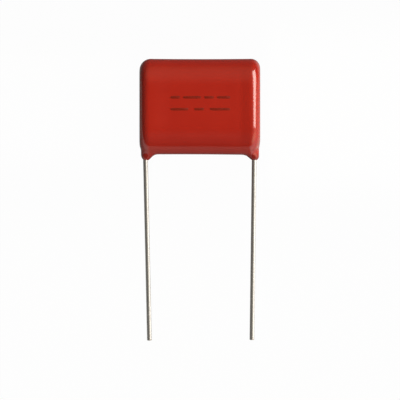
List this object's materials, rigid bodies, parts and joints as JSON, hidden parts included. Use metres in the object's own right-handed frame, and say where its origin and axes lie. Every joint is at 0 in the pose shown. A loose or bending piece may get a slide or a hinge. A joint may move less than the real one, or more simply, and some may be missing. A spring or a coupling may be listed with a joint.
{
  "type": "film capacitor",
  "caption": "Dipped radial film capacitor: a flattened film winding in a glossy red epoxy coat, with straight tinned leads for through-hole mounting.",
  "frame": {"origin": "middle of the flat back that the capacitor lies on, on the surface under it", "axes": "+Z out of the front face, through the thickness; +X from the left lead to the right lead; the leads point along -Y"},
  "size_m": [0.0256, 0.0601, 0.0118],
  "materials": {
    "red_epoxy": "gloss",
    "tinned_wire": "satin",
    "sprayed_metal": "matte",
    "metallised_film": "satin",
    "plain_film": "gloss"
  },
  "bodies": {
    "root": {"epoxy_coat": "red_epoxy", "film_winding": "metallised_film", "outer_wrap": "plain_film", "end_spray_left": "sprayed_metal", "end_spray_right": "sprayed_metal", "lead_left": "tinned_wire", "lead_right": "tinned_wire"}
  },
  "joints": []
}
